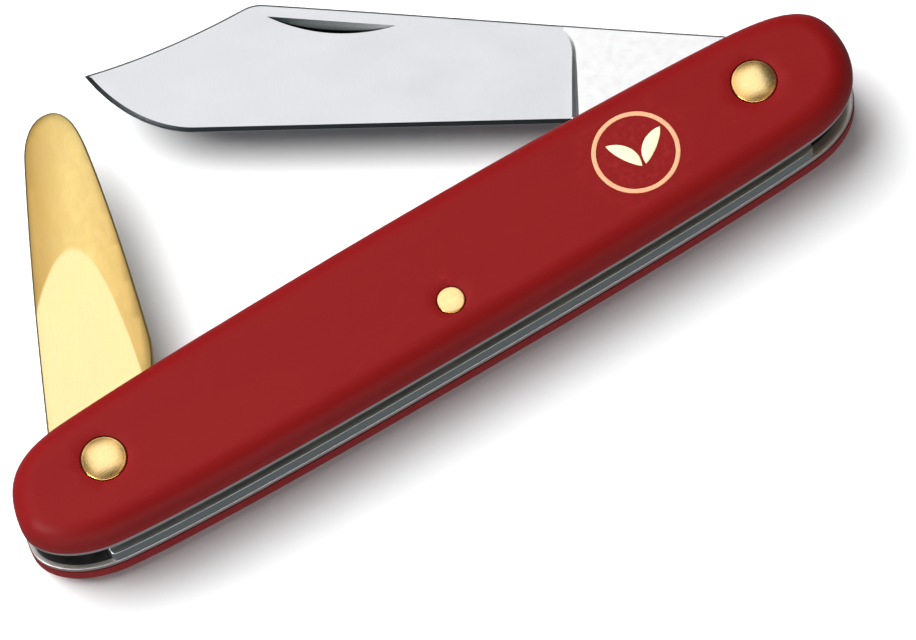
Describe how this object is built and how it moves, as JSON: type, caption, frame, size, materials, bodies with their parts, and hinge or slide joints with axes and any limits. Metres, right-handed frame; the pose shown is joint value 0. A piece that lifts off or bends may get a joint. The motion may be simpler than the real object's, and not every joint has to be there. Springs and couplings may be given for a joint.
{
  "type": "folding grafting knife",
  "caption": "Folding grafting knife with a curved-tip steel blade and a brass bark lifter that fold from opposite ends of a red two-scale handle.",
  "frame": {"origin": "on the flat outer face of the rear scale, below the middle of the line between the two pivots, which is the face the knife lies on", "axes": "+X along the handle from the bark lifter's pivot to the blade's pivot, +Y to the mouth side where the tools come out, +Z from the rear scale to the front scale"},
  "size_m": [0.1011, 0.0513, 0.0134],
  "materials": {
    "red_nylon": "fine-grained moulded nylon, satin",
    "liner_metal": "plain sheet, satin",
    "spring_steel": "ground and lightly polished",
    "blade_steel": "fine cross-ground, honed edge",
    "brass": "polished",
    "emblem_cream": "satin inlay"
  },
  "bodies": {
    "handle": {"front_scale": "red_nylon", "rear_scale": "red_nylon", "front_liner": "liner_metal", "rear_liner": "liner_metal", "centre_liner": "liner_metal", "blade_back_spring": "spring_steel", "lifter_back_spring": "spring_steel", "blade_pivot_rivet": "brass", "lifter_pivot_rivet": "brass", "spring_rivet": "brass", "blade_rivet_burr": "brass", "lifter_rivet_burr": "brass", "spring_rivet_burr": "brass", "emblem_ring": "emblem_cream", "emblem_leaf_left": "emblem_cream", "emblem_leaf_right": "emblem_cream"},
    "blade": {"grafting_blade": "blade_steel"},
    "lifter": {"bark_lifter": "brass"}
  },
  "joints": [
    {"name": "blade_pivot", "type": "hinge", "parent": "handle", "child": "blade", "pos_m": [0.0396, 0, 0.00528], "axis": [0, 0, -1], "range_deg": [-32.5, 147.5]},
    {"name": "lifter_pivot", "type": "hinge", "parent": "handle", "child": "lifter", "pos_m": [-0.0396, 0, 0.00761], "axis": [0, 0, 1], "range_deg": [-59, 113]}
  ]
}
